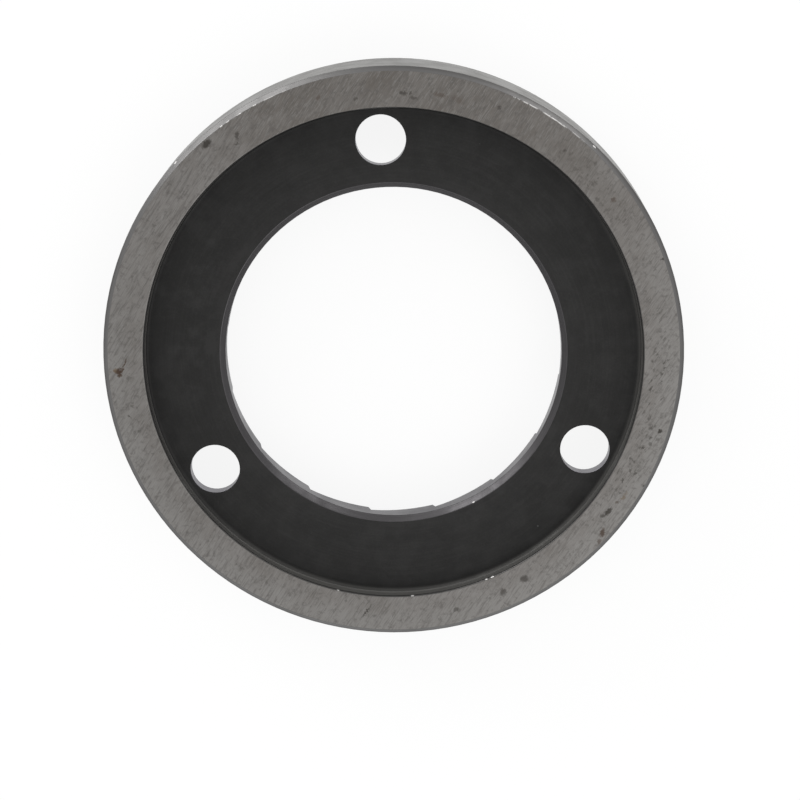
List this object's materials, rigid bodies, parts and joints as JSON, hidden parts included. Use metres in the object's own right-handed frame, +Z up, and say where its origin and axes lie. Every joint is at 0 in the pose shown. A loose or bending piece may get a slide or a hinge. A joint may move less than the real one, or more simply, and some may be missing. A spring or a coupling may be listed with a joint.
{
  "type": "coffee grinder burr",
  "caption": "Flat ring-shaped grinding burr with slanted cutting teeth on one face, a ground and recessed back, countersunk screw holes and a wide central bore.",
  "frame": {"origin": "centre of the ring, in the plane of the tooth lands that it lies on", "axes": "+Z up along the bore axis, from the teeth towards the ground back; +X towards the right and +Y towards the top of the picture's view of the back"},
  "size_m": [0.064, 0.064, 0.0086],
  "materials": {
    "burr_steel": "hardened steel, ground bright on the back rim and the tooth lands, left dark in the recess"
  },
  "bodies": {
    "root": {"burr": "burr_steel"}
  },
  "joints": []
}
